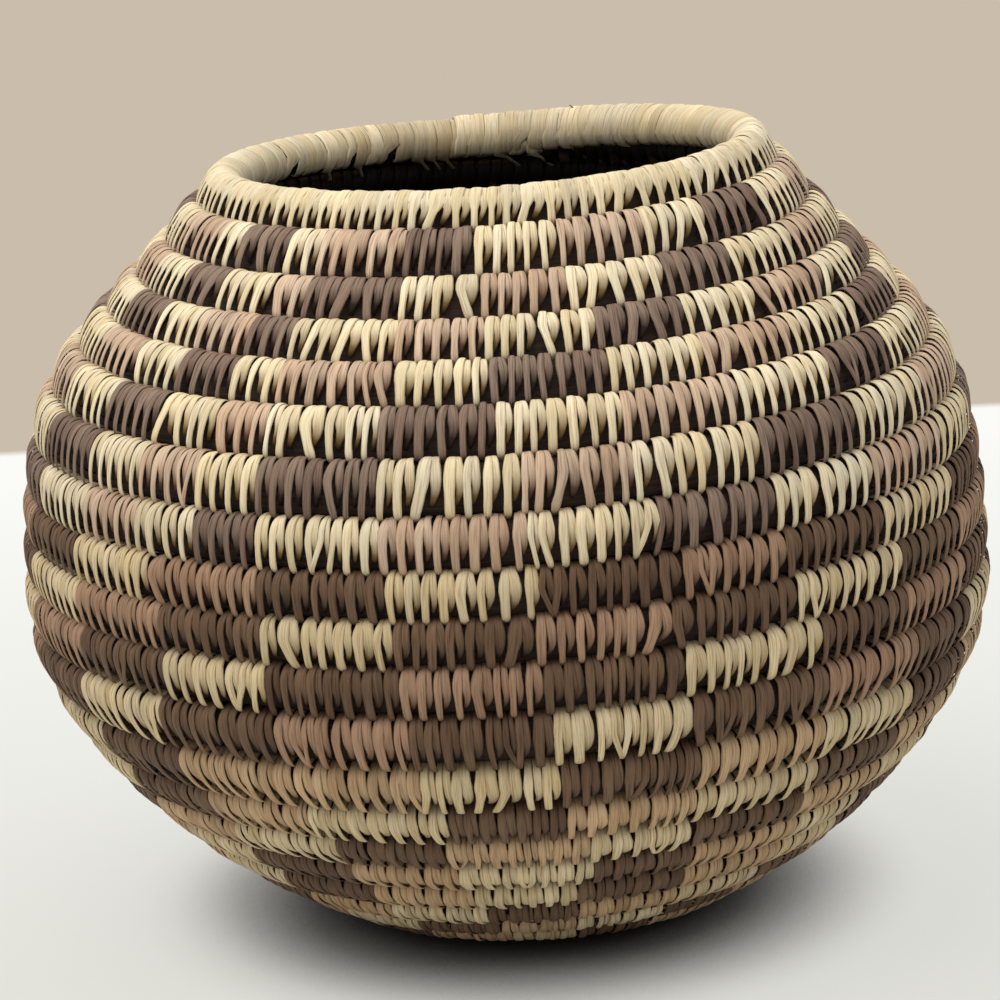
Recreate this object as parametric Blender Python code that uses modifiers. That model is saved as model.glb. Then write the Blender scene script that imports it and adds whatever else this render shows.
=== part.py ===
# Coiled basket, a round jar shape, built up from one coil that climbs in rows from a start knot
# to a thicker rim. Metres, +Z up. The basket stands on z = 0 and its front faces -Y.

import math

import bpy
from mathutils import Vector
from mathutils.geometry import interpolate_bezier

# Sizes of the basket, taken to the middle line of the coil
BELLY_RADIUS = 0.1104
BELLY_HEIGHT = 0.0794
MOUTH_RADIUS = 0.0618
MOUTH_HEIGHT = 0.1765
FOOT_RADIUS = 0.0420
FOOT_SLOPE = math.radians(27.5)
FOOT_BEND = 0.0400
MOUTH_SLOPE = math.radians(52.0)

# How far each bend of the wall carries on before it turns
FOOT_REACH = 0.0200
LOWER_BELLY_REACH = 0.0371
UPPER_BELLY_REACH = 0.0580
MOUTH_REACH = 0.0510

# Hand shaping: the belly and the mouth stand off to one side, and the mouth dips at the back
BELLY_SWAY = 0.0027
MOUTH_SWAY = 0.0022
MOUTH_DIP = 0.0045

# The coil: whole turns of each stretch, counted from the start knot
BASE_TURNS = 3
WALL_TURNS = 19
KNOT_RADIUS = 0.0062
KNOT_EDGE = 0.0022
ROW_GAP = 0.00045
END_GAP = 0.00035

# The coil swells and thins a little as bundles of grass are added
SWELL = 0.08
SWELL_PERIOD = 5.5
SWELL_PEAK = 16.5

# The rim coil, thicker at the back than in front, and its run-out
RIM_RADIUS = 0.0061
RIM_FRONT_RADIUS = 0.0054
RIM_GROWTH_TURN = 0.12
TAPER_TURN = 0.34
TIP_RADIUS = 0.0016

# The thin start of the coil beside the knot
START_TURN = -0.70

# The coil's section, as pairs of how far up and how far out, in half thicknesses. A seat above and a
# seat below meet the rows beside it. The base is even all round and lies flat, and the wall's coil is
# full above and drawn in below, where the long stitches cross to the row beneath.
SEAT_SHARE = 0.414
BASE_SECTION_SHARES = ((1.0, SEAT_SHARE), (SEAT_SHARE, 1.0), (-SEAT_SHARE, 1.0), (-1.0, SEAT_SHARE),
                       (-1.0, -SEAT_SHARE), (-SEAT_SHARE, -1.0), (SEAT_SHARE, -1.0), (1.0, -SEAT_SHARE))
WALL_SECTION_SHARES = ((1.0, SEAT_SHARE), (0.48, 0.98), (0.04, 0.92), (-0.38, 0.66), (-1.0, SEAT_SHARE),
                       (-1.0, -SEAT_SHARE), (-SEAT_SHARE, -0.92), (SEAT_SHARE, -0.96), (1.0, -SEAT_SHARE))

# Mesh detail: points round a turn
POINTS_PER_TURN = 32
END_STEP = 0.0010
PROFILE_STEPS = 60
BEND_STEPS = 8
KNOT_SIDES = 20

# Colours of the splints, linear, and how many blocks of each the rows repeat
STRAW = (0.665, 0.520, 0.275)
TAN = (0.376, 0.235, 0.120)
DARK = (0.085, 0.050, 0.036)
UPPER_REPEAT = (DARK, STRAW, TAN, STRAW)
LOWER_REPEAT = (DARK, TAN, STRAW)
UPPER_ROWS = 11
ROUGHNESS = 0.62

FULL_TURN = 2.0 * math.pi
SEAM_ANGLE = 0.5 * math.pi
TURNS = BASE_TURNS + WALL_TURNS


def clear_scene():
    for old in list(bpy.data.objects):
        bpy.data.objects.remove(old, do_unlink=True)


def wall_outline():
    """Points (radius, height over the foot line) from the middle of the base out, up and in to the mouth."""
    centre = Vector((0.0, 0.0, 0.0))
    foot_cut = FOOT_BEND * math.tan(0.5 * FOOT_SLOPE)
    bend_start = FOOT_RADIUS - foot_cut
    bend_angles = [FOOT_SLOPE * step / BEND_STEPS for step in range(BEND_STEPS + 1)]
    bend = [Vector((bend_start + FOOT_BEND * math.sin(angle), FOOT_BEND * (1.0 - math.cos(angle)), 0.0))
            for angle in bend_angles]
    foot = bend[-1]
    belly = Vector((BELLY_RADIUS, BELLY_HEIGHT, 0.0))
    mouth = Vector((MOUTH_RADIUS, MOUTH_HEIGHT, 0.0))
    leave_foot = foot + FOOT_REACH * Vector((math.cos(FOOT_SLOPE), math.sin(FOOT_SLOPE), 0.0))
    meet_belly = belly - Vector((0.0, LOWER_BELLY_REACH, 0.0))
    leave_belly = belly + Vector((0.0, UPPER_BELLY_REACH, 0.0))
    meet_mouth = mouth + MOUTH_REACH * Vector((math.cos(MOUTH_SLOPE), -math.sin(MOUTH_SLOPE), 0.0))
    lower = interpolate_bezier(foot, leave_foot, meet_belly, belly, PROFILE_STEPS)
    upper = interpolate_bezier(belly, leave_belly, meet_mouth, mouth, PROFILE_STEPS)
    return [centre] + bend + list(lower[1:]) + list(upper[1:])


class Outline:
    """A line of points that can be walked by its length, and on past its end in its last direction."""

    def __init__(self, points):
        self.points = points
        self.reached = [0.0]
        for start, end in zip(points, points[1:]):
            self.reached.append(self.reached[-1] + (end - start).length)

    def length(self):
        return self.reached[-1]

    def at(self, distance):
        last = len(self.points) - 2
        index = 0
        while index < last and self.reached[index + 1] < distance:
            index += 1
        start = self.points[index]
        end = self.points[index + 1]
        share = (distance - self.reached[index]) / (end - start).length
        return start + (end - start) * share


OUTLINE = Outline(wall_outline())
PITCH = (OUTLINE.length() - KNOT_RADIUS) / (TURNS + 1)


def row_distance(turn):
    """How far along the outline the coil's middle lies after this many turns."""
    swelling = SWELL * SWELL_PERIOD / FULL_TURN * math.sin(FULL_TURN * (turn - SWELL_PEAK) / SWELL_PERIOD)
    fade = min(max((turn - BASE_TURNS) / SWELL_PERIOD, 0.0), 1.0)
    return KNOT_RADIUS + PITCH * (turn + 0.5 + swelling * fade)


def place(radius, height, turn):
    """A point at this radius, height over the base's middle line and angle, with the hand shaping."""
    angle = SEAM_ANGLE + FULL_TURN * turn
    share = height / MOUTH_HEIGHT
    sway = BELLY_SWAY * math.sin(math.pi * share) + MOUTH_SWAY * share
    back = 0.5 * (1.0 + math.sin(angle))
    dip = MOUTH_DIP * back * share ** 2
    across = radius * math.cos(angle) - sway
    along = radius * math.sin(angle)
    return Vector((across, along, height - dip))


def coil_middle(turn):
    """The middle of the coil after this many turns, below the rim."""
    spot = OUTLINE.at(row_distance(turn))
    return place(spot.x, spot.y, turn)


def wall_angle(turn):
    """How steeply the wall stands at this row: zero lies flat, a quarter turn stands upright."""
    inner = OUTLINE.at(row_distance(turn - 0.5))
    outer = OUTLINE.at(row_distance(turn + 0.5))
    return math.atan2(outer.y - inner.y, outer.x - inner.x)


def coil_radius(turn):
    """Half the coil's thickness, so that its sides just clear the rows below and above it."""
    here = coil_middle(turn)
    above = (coil_middle(turn + 1.0) - here).length
    below = (here - coil_middle(turn - 1.0)).length
    bend_above = wall_angle(turn + 1.0) - wall_angle(turn)
    bend_below = wall_angle(turn) - wall_angle(turn - 1.0)
    half_bend = 0.5 * max(abs(bend_above), abs(bend_below))
    corner = math.cos(half_bend) + SEAT_SHARE * math.sin(half_bend)
    return 0.5 * (min(above, below) - ROW_GAP) / corner


# Half the thickness of the coil where it lies flat, which is how high its middle stands off the floor
BASE_THICK = coil_radius(1.0)


def start_middle(turn):
    """The middle of the coil's thin start, which fills the wedge between the knot and the first turn."""
    spot = OUTLINE.at(KNOT_RADIUS + 0.5 * PITCH * (turn + 1.0))
    return place(spot.x, spot.y, turn)


def start_radius(turn):
    return min(0.5 * (PITCH * (turn + 1.0) - ROW_GAP), BASE_THICK)


def rim_radius(turn):
    """The rim swells from the last row's thickness, and runs out thin at its end."""
    since = turn - TURNS
    first = coil_radius(turn - 1.0)
    growth = min(since / RIM_GROWTH_TURN, 1.0)
    back = 0.5 * (1.0 + math.sin(SEAM_ANGLE + FULL_TURN * turn))
    grown = RIM_FRONT_RADIUS + (RIM_RADIUS - RIM_FRONT_RADIUS) * back
    full = first + (grown - first) * growth
    left = min(max((1.0 - since) / TAPER_TURN, 0.0), 1.0)
    return TIP_RADIUS + (full - TIP_RADIUS) * math.sin(0.5 * math.pi * left)


def rim_middle(turn):
    """The rim's middle, seated on the row below it."""
    below = coil_middle(turn - 1.0)
    outward = (coil_middle(turn) - below).normalized()
    return below + outward * (coil_radius(turn - 1.0) + ROW_GAP + rim_radius(turn))


def turns_between(first, last):
    """Turn values that line up from row to row, with a short step at each end so that ends sit square."""
    counts = range(math.ceil(first * POINTS_PER_TURN), math.floor(last * POINTS_PER_TURN) + 1)
    short = END_STEP / (FULL_TURN * MOUTH_RADIUS)
    inside = [count / POINTS_PER_TURN for count in counts]
    inside = [turn for turn in inside if first + short < turn < last - short]
    return [first, first + short] + inside + [last - short, last]


def make_material(name, colour):
    material = bpy.data.materials.new(name)
    material.use_nodes = True
    shader = material.node_tree.nodes["Principled BSDF"]
    shader.inputs["Base Color"].default_value = (*colour, 1.0)
    shader.inputs["Roughness"].default_value = ROUGHNESS
    shader.inputs["Metallic"].default_value = 0.0
    material.diffuse_color = (*colour, 1.0)
    return material


def mixed(colours):
    return tuple(sum(channel) / len(colours) for channel in zip(*colours))


def make_section(name, pairs):
    """The outline that is swept along the coil."""
    curve = bpy.data.curves.new(name, "CURVE")
    curve.dimensions = "2D"
    curve.fill_mode = "NONE"
    spline = curve.splines.new("POLY")
    spline.use_cyclic_u = True
    spline.points.add(len(pairs) - 1)
    for point, (up, out) in zip(spline.points, pairs):
        point.co = (up, -out, 0.0, 1.0)
    return bpy.data.objects.new(name, curve)


def add_coil(name, colour, turns, middle, radius, section, collection):
    """One length of the coil: its section swept along its middle line.

    The section's seats face the rows beside it, so the rows seat flat on each other and on the floor.
    """
    curve = bpy.data.curves.new(name, "CURVE")
    curve.dimensions = "3D"
    curve.twist_mode = "Z_UP"
    curve.bevel_mode = "OBJECT"
    curve.bevel_object = section
    curve.use_fill_caps = True
    spline = curve.splines.new("POLY")
    spline.points.add(len(turns) - 1)
    for point, turn in zip(spline.points, turns):
        point.co = (*middle(turn), 1.0)
        point.radius = radius(turn)
        point.tilt = -wall_angle(turn)
    curve.materials.append(make_material(name, colour))
    coil = bpy.data.objects.new(name, curve)
    coil.location.z = BASE_THICK
    collection.objects.link(coil)
    return coil


def add_start_knot(collection):
    """The button that the coil starts round, flat underneath where it meets the floor."""
    bpy.ops.mesh.primitive_cylinder_add(vertices=KNOT_SIDES, radius=KNOT_RADIUS - ROW_GAP,
                                        depth=2.0 * BASE_THICK, location=(0.0, 0.0, BASE_THICK))
    knot = bpy.context.object
    knot.name = "start_knot"
    edge = knot.modifiers.new("worn_edge", "BEVEL")
    edge.width = KNOT_EDGE
    edge.segments = 2
    knot.data.materials.append(make_material("start_knot", STRAW))
    for old in list(knot.users_collection):
        old.objects.unlink(knot)
    collection.objects.link(knot)
    return knot


def base_middle(turn):
    return start_middle(turn) if turn < 0.0 else coil_middle(turn)


def base_radius(turn):
    return start_radius(turn) if turn < 0.0 else coil_radius(max(turn, 1.0))


def least_gap(stretches):
    """The least clearance between any two places of the coil that are over half a turn apart."""
    rings = []
    for turns, middle, radius in stretches:
        rings.extend((turn, middle(turn), radius(turn)) for turn in turns)
    least = math.inf
    for index, (turn, spot, reach) in enumerate(rings):
        for other_turn, other_spot, other_reach in rings[index + 1:]:
            if 0.5 < other_turn - turn < 1.5:
                least = min(least, (other_spot - spot).length - reach - other_reach)
    return least


def main():
    clear_scene()
    collection = bpy.data.collections.new("coiled_basket")
    bpy.context.scene.collection.children.link(collection)

    add_start_knot(collection)
    base_section = make_section("base_section", BASE_SECTION_SHARES)
    wall_section = make_section("wall_section", WALL_SECTION_SHARES)
    end = 0.5 * END_GAP / FULL_TURN
    stretches = []

    base_turns = turns_between(START_TURN, BASE_TURNS - end / FOOT_RADIUS)
    add_coil("base_coil", STRAW, base_turns, base_middle, base_radius, base_section, collection)
    stretches.append((base_turns, base_middle, base_radius))

    for row in range(WALL_TURNS):
        start = BASE_TURNS + row
        back_off = end / MOUTH_RADIUS
        turns = turns_between(start + back_off, start + 1 - back_off)
        repeat = UPPER_REPEAT if WALL_TURNS - row <= UPPER_ROWS else LOWER_REPEAT
        name = f"wall_course_{row + 1:02d}"
        add_coil(name, mixed(repeat), turns, coil_middle, coil_radius, wall_section, collection)
        stretches.append((turns, coil_middle, coil_radius))

    rim_turns = turns_between(TURNS + end / MOUTH_RADIUS, TURNS + 1)
    add_coil("rim_coil", STRAW, rim_turns, rim_middle, rim_radius, wall_section, collection)
    stretches.append((rim_turns, rim_middle, rim_radius))

    print(f"coil pitch {PITCH * 1000:.2f} mm, flat coil {2000 * BASE_THICK:.2f} mm thick")
    print(f"least gap of the coil to itself {least_gap(stretches) * 1000:.3f} mm")


main()
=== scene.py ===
import math

import bpy
import numpy as np
from mathutils import Matrix, Vector
from mathutils.geometry import interpolate_bezier


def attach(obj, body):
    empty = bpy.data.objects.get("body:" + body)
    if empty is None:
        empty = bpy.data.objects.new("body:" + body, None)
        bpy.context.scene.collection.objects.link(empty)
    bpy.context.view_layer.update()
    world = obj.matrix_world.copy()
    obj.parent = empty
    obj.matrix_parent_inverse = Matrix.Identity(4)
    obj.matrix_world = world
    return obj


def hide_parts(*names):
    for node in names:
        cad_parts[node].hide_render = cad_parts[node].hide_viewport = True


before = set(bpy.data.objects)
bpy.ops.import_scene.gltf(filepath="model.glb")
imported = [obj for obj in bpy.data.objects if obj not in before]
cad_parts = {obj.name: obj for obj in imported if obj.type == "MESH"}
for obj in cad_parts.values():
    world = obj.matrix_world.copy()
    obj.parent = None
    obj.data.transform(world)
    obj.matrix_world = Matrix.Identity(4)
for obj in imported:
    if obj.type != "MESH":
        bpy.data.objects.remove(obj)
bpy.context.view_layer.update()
millimetre = 0.001
fullTurn = 2.0 * math.pi

# The wall
# The coil's route, the same as in the solids: an outline from the middle of the base to the mouth,
# and one coil that climbs it.
wall = {
    # The outline: its main points, the slopes there, and how far the curves between them reach
    "bellyRadius": 0.1104,
    "bellyHeight": 0.0794,
    "mouthRadius": 0.0618,
    "mouthHeight": 0.1765,
    "footRadius": 0.0420,
    "footSlope": math.radians(27.5),
    "footBend": 0.0400,
    "mouthSlope": math.radians(52.0),
    "footReach": 0.0200,
    "lowerBellyReach": 0.0371,
    "upperBellyReach": 0.0580,
    "mouthReach": 0.0510,
    "pastMouth": 0.03,
    "curveSteps": 60,
    "bendSteps": 8,
    "slopeStep": 1.5 * millimetre,
    # Hand shaping: the belly and the mouth stand off to one side, and the mouth dips at the back
    "bellySway": 0.0027,
    "mouthSway": 0.0022,
    "mouthDip": 0.0045,
    # The coil: its turns, the courses' slow swell, and the base that it lies flat on
    "baseTurns": 3,
    "wallTurns": 19,
    "startTurn": -0.70,
    "seamAngle": 0.5 * math.pi,
    "knotRadius": 0.0062,
    "leastReach": 0.4 * millimetre,
    "rowGap": 0.00045,
    "swell": 0.08,
    "swellPeriod": 5.5,
    "swellPeak": 16.5,
    "basePress": 0.92,
    # The rim: its half thickness at the back and in front, and in turns how it grows and runs out,
    # how far its stitches go on past the seam, and where every strand ends
    "rimRadius": 0.0057,
    "rimFront": 0.0049,
    "rimGrowthTurn": 0.12,
    "taperTurn": 0.34,
    "rimOverlap": 0.025,
    "rimEnd": 1.05,
}
allTurns = wall["baseTurns"] + wall["wallTurns"]


def outlinePoints():
    slope, bend = wall["footSlope"], wall["footBend"]
    bendStart = wall["footRadius"] - bend * math.tan(0.5 * slope)
    turned = [slope * step / wall["bendSteps"] for step in range(wall["bendSteps"] + 1)]
    foot = [Vector((bendStart + bend * math.sin(a), bend * (1.0 - math.cos(a)), 0.0)) for a in turned]
    belly = Vector((wall["bellyRadius"], wall["bellyHeight"], 0.0))
    mouth = Vector((wall["mouthRadius"], wall["mouthHeight"], 0.0))
    leaveFoot = foot[-1] + wall["footReach"] * Vector((math.cos(slope), math.sin(slope), 0.0))
    meetBelly = belly - Vector((0.0, wall["lowerBellyReach"], 0.0))
    leaveBelly = belly + Vector((0.0, wall["upperBellyReach"], 0.0))
    lean = wall["mouthSlope"]
    meetMouth = mouth + wall["mouthReach"] * Vector((math.cos(lean), -math.sin(lean), 0.0))
    lower = interpolate_bezier(foot[-1], leaveFoot, meetBelly, belly, wall["curveSteps"])
    upper = interpolate_bezier(belly, leaveBelly, meetMouth, mouth, wall["curveSteps"])
    points = [Vector((0.0, 0.0, 0.0))] + foot + list(lower[1:]) + list(upper[1:])
    past = points[-1] + (points[-1] - points[-2]).normalized() * wall["pastMouth"]
    return np.array([point[:2] for point in points + [past]])


outline = outlinePoints()
outlineReach = np.r_[0.0, np.cumsum(np.linalg.norm(np.diff(outline, axis=0), axis=1))]
coilPitch = (outlineReach[-2] - wall["knotRadius"]) / (allTurns + 1)


def outlineAt(distance):
    return np.interp(distance, outlineReach, outline[:, 0]), np.interp(distance, outlineReach, outline[:, 1])


def courseDistance(turn):
    # How far along the outline the coil's middle lies after this many turns
    wave = wall["swell"] * wall["swellPeriod"] / fullTurn
    swelling = wave * np.sin(fullTurn * (turn - wall["swellPeak"]) / wall["swellPeriod"])
    fade = np.clip((turn - wall["baseTurns"]) / wall["swellPeriod"], 0.0, 1.0)
    return wall["knotRadius"] + coilPitch * (turn + 0.5 + swelling * fade)


def courseHalf(turn):
    # Half the height of a course, from the courses beside it
    above = courseDistance(turn + 1.0) - courseDistance(turn)
    below = courseDistance(turn) - courseDistance(turn - 1.0)
    return 0.5 * np.minimum(above, below)


baseThick = float(courseHalf(1.0)) - 0.5 * wall["rowGap"]


def rimHalf(turn):
    # The rim is a little thicker than a course, most of all at the back
    since = turn - allTurns
    first = courseHalf(turn - 1.0)
    back = 0.5 * (1.0 + np.sin(wall["seamAngle"] + fullTurn * turn))
    full = wall["rimFront"] + (wall["rimRadius"] - wall["rimFront"]) * back
    grown = np.clip(since / wall["rimGrowthTurn"], 0.0, 1.0) * (1.0 - rimSlide(turn))
    return first + (full - first) * grown


def rimSlide(turn):
    # The run-out end is bound in with the course below, so the rim's wraps sink onto that course
    left = np.clip((1.0 - (turn - allTurns)) / wall["taperTurn"], 0.0, 1.0)
    return 1.0 - np.sin(0.5 * math.pi * left)


def coilHalf(turn):
    starting = 0.5 * coilPitch * (turn + 1.0)
    half = np.where(turn < 0.0, np.minimum(starting, baseThick), courseHalf(np.maximum(turn, 1.0)))
    return np.where(turn >= allTurns, rimHalf(turn), half)


def coilDistance(turn):
    start = wall["knotRadius"] + 0.5 * coilPitch * (turn + 1.0)
    onTop = courseDistance(turn - 1.0) + (courseHalf(turn - 1.0) + rimHalf(turn)) * (1.0 - rimSlide(turn))
    distance = np.where(turn < 0.0, start, courseDistance(turn))
    return np.where(turn >= allTurns, onTop, distance)


def onWall(turn, distance, out):
    # A point this far along the outline, at this turn's angle and this far out of the wall's middle
    radius, height = outlineAt(distance)
    radiusOn, heightOn = outlineAt(distance + wall["slopeStep"])
    radiusBack, heightBack = outlineAt(distance - wall["slopeStep"])
    alongRadius, alongHeight = radiusOn - radiusBack, heightOn - heightBack
    size = np.hypot(alongRadius, alongHeight)
    share = height / wall["mouthHeight"]
    radius = radius + out * alongHeight / size
    height = height - out * alongRadius / size
    angle = wall["seamAngle"] + fullTurn * turn
    sway = wall["bellySway"] * np.sin(math.pi * share) + wall["mouthSway"] * share
    back = 0.5 * (1.0 + np.sin(angle))
    dip = wall["mouthDip"] * back * share ** 2
    return np.stack([radius * np.cos(angle) - sway, radius * np.sin(angle), height - dip + baseThick], -1)


def coilPoint(turn, down, out):
    # down is in course heights below the coil's middle, out is in coil radii, pressed flat under the base
    half = coilHalf(turn)
    distance = np.maximum(coilDistance(turn) - down * 2.0 * half, wall["leastReach"])
    pressed = np.where(turn < wall["baseTurns"], wall["basePress"], 1.0)
    return onWall(turn, distance, out * pressed * (half - 0.5 * wall["rowGap"]))


# The stitches
# Each stitch wraps the coil once and then reaches down into a gap in the course below with one long leg.
# Rows are counted down from the rim, which is row 0. Shares and places beside a stitch's middle are in
# parts of the room that it has along the coil.
stitch = {
    "seed": 29,
    "thickness": 0.46 * millimetre,
    # Spacing: finer towards the base, with a slow drift and a small random part
    "pitch": 3.95 * millimetre,
    "pitchDrift": 0.05,
    "driftWaves": 2.3,
    "driftPhase": 1.1,
    "pitchJitter": 0.08,
    "fineTurns": (3.0, 9.0),
    "fine": (0.78, 1.0),
    "firstOn": 0.04,
    "leastRadius": 6.0 * millimetre,
    "leastAround": 50.0 * millimetre,
    # A leg is drawn to a notch of the course below, as far as the spacing allows, once there is such a course
    "pull": 0.85,
    "spacing": (0.76, 1.22),
    "notchFrom": 0.4,
    "tipReach": 0.95,
    # Where the strands lie beside the stitch's middle
    "legAside": 0.24,
    "wrapAside": 0.26,
    "legTopAside": 0.105,
    "wrapTopAside": 0.120,
    "closeTopAside": 0.06,
    "lowTopAside": 0.07,
    "topFollow": 0.25,
    "underAside": 0.16,
    "closeUnderAside": 0.12,
    "backAside": 0.10,
    "inHighAside": 0.12,
    "inMiddleAside": 0.10,
    # The hand's unevenness: legs lean in slow waves, and each strand has a place, width, lift and height
    # of its own. The spreads are a usual step and the largest.
    "lean": 0.30,
    "leanTurns": 0.055,
    "waverTurns": 40.0,
    "waverStart": 2.0,
    "wobble": {"leg": 0.045, "wrap": 0.055, "notch": 0.06, "tip": 0.03, "top": 0.03, "under": 0.06},
    "wrapFrom": 0.42,
    "wrapOver": 0.16,
    "widthSpread": (0.13, 0.27),
    "liftSpread": (0.018, 0.05),
    "topSpread": (0.012, 0.03),
    "unevenWidth": 0.05,
    "unevenEased": 1.7,
    # How closely the tops lie: the rim is wrapped shut, and the rows below it have notches between the tops
    "closeRows": (0, 1, 5),
    "close": (1.0, 0.60, 0.42),
    "closeWidth": 0.60,
    "closeLift": 0.75,
    "closeSteady": 0.55,
    "closeEven": 0.5,
    "slimLegs": 0.06,
    "topTo": 0.05,
    # In the upper rows the short wraps end higher up, and in the low rows the tops are broader
    "riseRows": (0, 1, 7, 9),
    "rise": (0.0, 0.03, 0.02, 0.0),
    "lowRows": (8, 12),
    "lowTopWidth": 0.05,
    # How dark a strand is painted where it dives under the coil, and on the inside, where a few stay paler:
    # painted shade, nearly black inside
    "soilRows": (7, 10),
    "wrapShade": (1.0, 0.75),
    "innerFrom": -0.3,
    "innerShade": 2.0,
    "paleInner": 1.25,
    "paleShare": 0.20,
    # How light the splints are: they differ a little at random, and by row they are painted darker, a little
    # at the rim and more in the lower rows, a painted shade where the wall turns down from the light
    "toneSpread": 0.075,
    "toneLimits": (-0.18, 0.14),
    "shadeRows": (0, 1, 5, 8, 12),
    "tone": (0.95, 0.99, 1.0, 0.86, 0.80),
}
# The rim's wraps, and the few stitches before it that are sewn like them
rim = {
    "before": 0.03,
    "width": 0.80,
    "insideWidth": 1.15,
    "middleDown": -0.02,
    # Painted shade: how dark the rim's wraps are painted where they dive under, on the rim's face and on its
    # inside
    "wrapShade": {"under": 1.0, "wrapLow": 0.75, "wrap": 0.35},
    "faceShade": 0.3,
    "insideShade": 0.7,
    # Under the inner edge most wraps sink into the bundle
    "edgeDown": 0.10,
    "edgeOut": -0.42,
    "sunkOut": -0.20,
    # A few cross there as thin pale legs that lean back
    "legShare": 0.30,
    "legWidth": 0.24,
    "legDown": 0.17,
    "legOut": -0.18,
    "legBack": 0.90,
    "legTurned": 0.4,
    # How dark these legs are painted, a painted shade
    "legShade": 0.30,
    # Slits where a wrap has shrunk, in turns from the rim's start. From this height down, the strands
    # on the inside are this wide and lie this far on.
    "slits": (0.012, 0.073, 0.098, 0.148, 0.978),
    "slitFrom": -0.35,
    "slitWidth": {"inMiddle": 0.46, "inHigh": 0.46, "backHigh": 0.28, "backLow": 0.28},
    "slitAside": {"inMiddle": 0.32, "inHigh": 0.30, "backHigh": 0.56, "backLow": 0.56},
    # Stained wraps: from where to where, in turns from the rim's start, and how dark
    "stains": ((0.020, 0.075, 0.30), (0.086, 0.094, 0.22), (0.120, 0.136, 0.14), (0.955, 0.990, 0.16)),
}
# The splint's route round the coil: down in course heights, out in coil radii, the strand that it belongs to,
# its width in parts of its room, how dark it is painted (painted shade where it dives between the courses or
# lies inside the wall), and how many pieces lead to the next place.
route = [
    (0.620, 0.02, "tip", 0.32, 1.30, 1),
    (0.590, 0.32, "tip", 0.37, 0.70, 1),
    (0.540, 0.56, "tip", 0.41, 0.32, 2),
    (0.445, 0.71, "ankle", 0.46, 0.10, 2),
    (0.300, 0.82, "shin", 0.46, 0.04, 2),
    (0.120, 0.91, "knee", 0.48, 0.00, 2),
    (-0.080, 0.970, "leg", 0.50, 0.00, 2),
    (-0.250, 0.960, "legUpper", 0.49, 0.00, 2),
    (-0.390, 0.860, "legHigh", 0.40, 0.04, 2),
    (-0.480, 0.640, "legTop", 0.33, 0.20, 2),
    (-0.525, 0.320, "legTop", 0.32, 0.50, 1),
    (-0.530, -0.02, "legTop", 0.33, 0.60, 1),
    (-0.460, -0.42, "legTop", 0.38, 0.50, 1),
    (-0.320, -0.72, "backHigh", 0.50, 0.40, 1),
    (-0.140, -0.80, "backLow", 0.50, 0.40, 1),
    (0.080, -0.62, "backLow", 0.46, 0.80, 1),
    (0.230, -0.28, "under", 0.34, 1.60, 1),
    (0.340, 0.12, "under", 0.22, 1.90, 2),
    (0.325, 0.44, "under", 0.23, 1.75, 2),
    (0.235, 0.660, "wrapLow", 0.32, 1.15, 2),
    (0.075, 0.820, "wrap", 0.46, 0.56, 2),
    (-0.100, 0.910, "wrap", 0.55, 0.24, 2),
    (-0.260, 0.900, "wrapUpper", 0.53, 0.10, 2),
    (-0.390, 0.810, "wrapHigh", 0.43, 0.08, 2),
    (-0.480, 0.600, "wrapTop", 0.34, 0.22, 1),
    (-0.525, 0.300, "wrapTop", 0.33, 0.50, 1),
    (-0.530, -0.02, "wrapTop", 0.34, 0.60, 1),
    (-0.460, -0.44, "wrapTop", 0.40, 0.50, 1),
    (-0.320, -0.74, "inHigh", 0.50, 0.40, 1),
    (-0.140, -0.84, "inHigh", 0.52, 0.40, 1),
    (0.100, -0.82, "inMiddle", 0.50, 0.40, 1),
    (0.320, -0.68, "inLow", 0.48, 0.45, 1),
    (0.480, -0.46, "nextTip", 0.42, 0.60, 1),
    (0.600, -0.16, "nextTip", 0.36, 1.00, 1),
]
# A strip's own section, in shares of its width and thickness: a flat back and a slightly domed face
stripSection = np.array([(-0.50, 0.0), (-0.34, 0.46), (0.0, 0.62), (0.34, 0.46), (0.50, 0.0), (0.0, -0.35)])


def softWaver(values, size, draws):
    # Soft, repeatable waver along the coil
    knots = draws.uniform(-1.0, 1.0, int(stitch["waverTurns"] / size))
    at = (values + stitch["waverStart"]) / size
    base = np.floor(at).astype(int)
    share = at - base
    share = share * share * (3.0 - 2.0 * share)
    return knots[base] * (1.0 - share) + knots[base + 1] * share


def layStitches(draws):
    # The turn of every stitch, walked along the coil from the start knot to the end of the rim.
    # Each is set where its leg meets a notch of the course below, as far as the spacing allows.
    turns, even, below = [], wall["startTurn"] + stitch["firstOn"], 0
    while even < allTurns + 1.0 + wall["rimOverlap"]:
        radius, _ = outlineAt(coilDistance(np.array(even)))
        around = fullTurn * max(float(radius), stitch["leastRadius"])
        wave = math.sin(fullTurn * even * stitch["driftWaves"] + stitch["driftPhase"])
        drift = 1.0 + stitch["pitchDrift"] * wave
        fine = np.interp(even, stitch["fineTurns"], stitch["fine"])
        jitter = 1.0 + draws.uniform(-1.0, 1.0) * stitch["pitchJitter"]
        step = stitch["pitch"] * fine * drift * jitter / around
        place = even
        wanted = even - 1.0 - stitch["legAside"] * step
        if len(turns) > 2 and wanted > turns[1]:
            while 0.5 * (turns[below + 1] + turns[below + 2]) < wanted:
                below += 1
            before = 0.5 * (turns[below] + turns[below + 1])
            after = 0.5 * (turns[below + 1] + turns[below + 2])
            nearest = before if wanted - before < after - wanted else after
            place += stitch["pull"] * (nearest - wanted)
        if turns:
            least, most = stitch["spacing"]
            place = min(max(place, turns[-1] + least * step), turns[-1] + most * step)
        turns.append(place)
        even += step
    return np.array(turns)


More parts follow.
